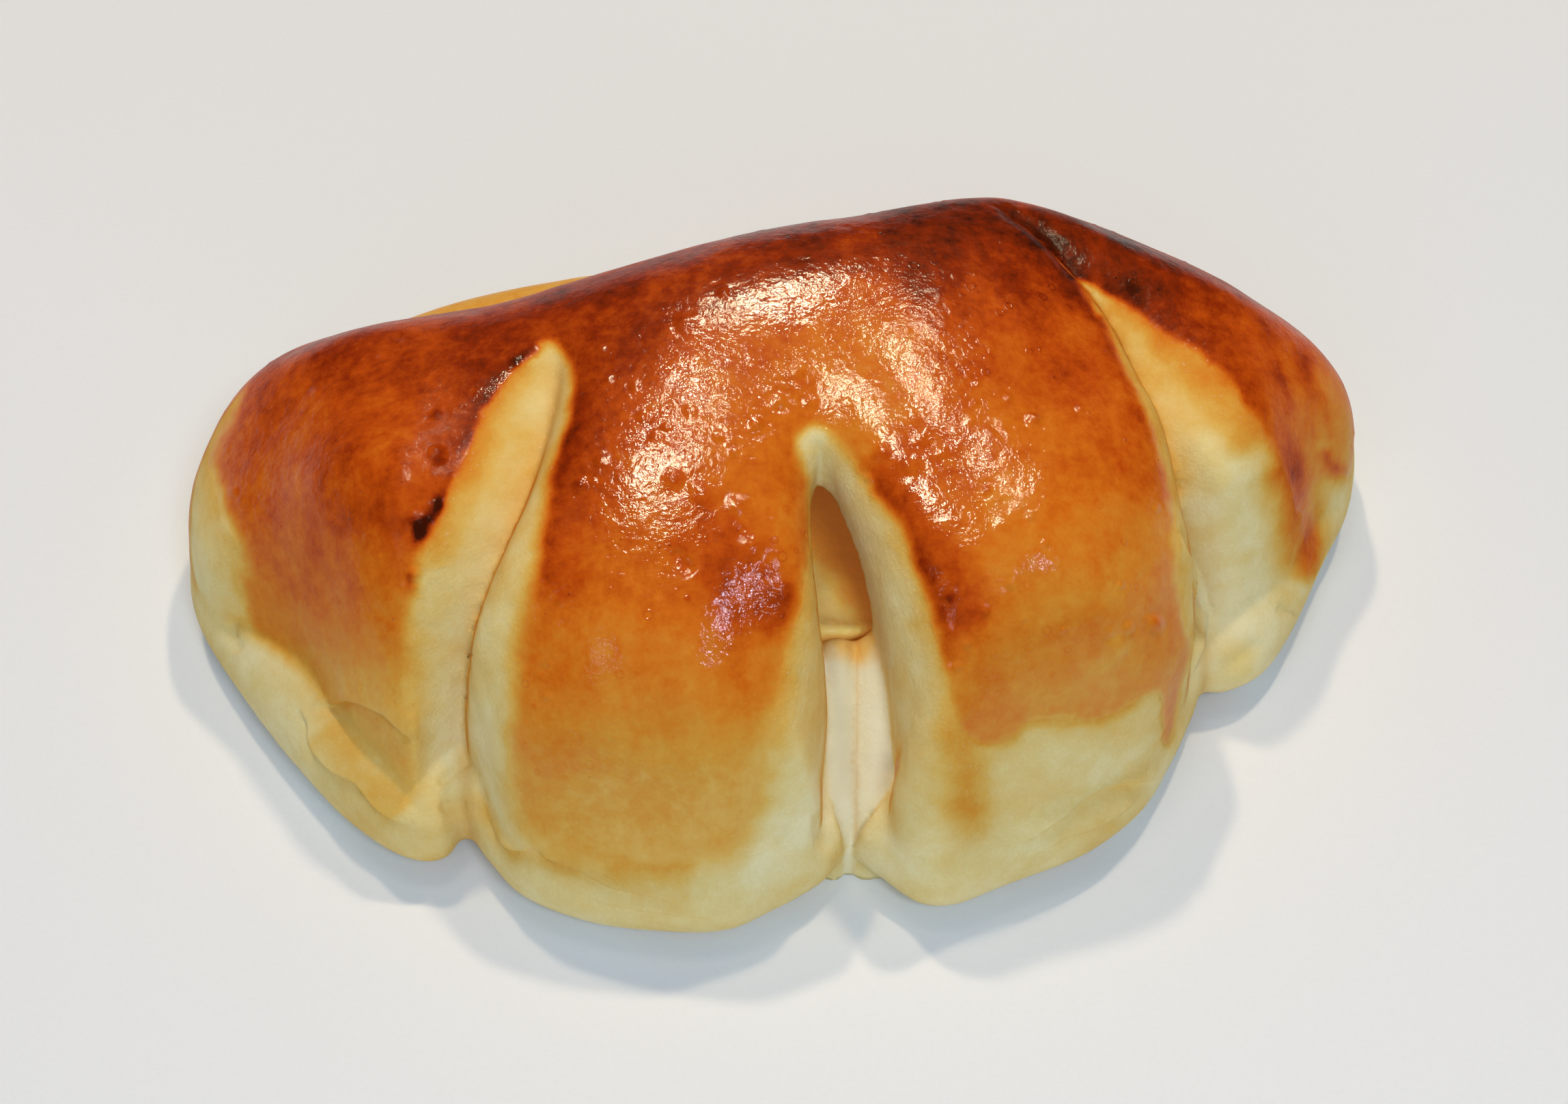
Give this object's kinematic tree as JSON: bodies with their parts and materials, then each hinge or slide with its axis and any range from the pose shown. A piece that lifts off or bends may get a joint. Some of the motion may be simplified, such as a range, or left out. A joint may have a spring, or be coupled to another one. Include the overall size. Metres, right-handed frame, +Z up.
{
  "type": "cream bun",
  "caption": "Half-moon baked bun folded over custard, its front edge cut into blunt fingers, with a glossy browned crust and an open middle cut.",
  "frame": {"origin": "centre of the bun's bounding box in plan, at the flat underside it rests on", "axes": "+X along the bun's length from the narrow left end to the right end, +Y from the cut fingers to the folded back edge, +Z up"},
  "size_m": [0.1368, 0.0926, 0.0438],
  "materials": {
    "crust": "egg-washed baked dough, glossy and browned on top, pale and matt low down and in the cuts",
    "custard": "smooth custard, moist and slightly glossy, with vanilla specks"
  },
  "bodies": {
    "root": {"bun_bread": "crust", "custard_cream": "custard"}
  },
  "joints": []
}
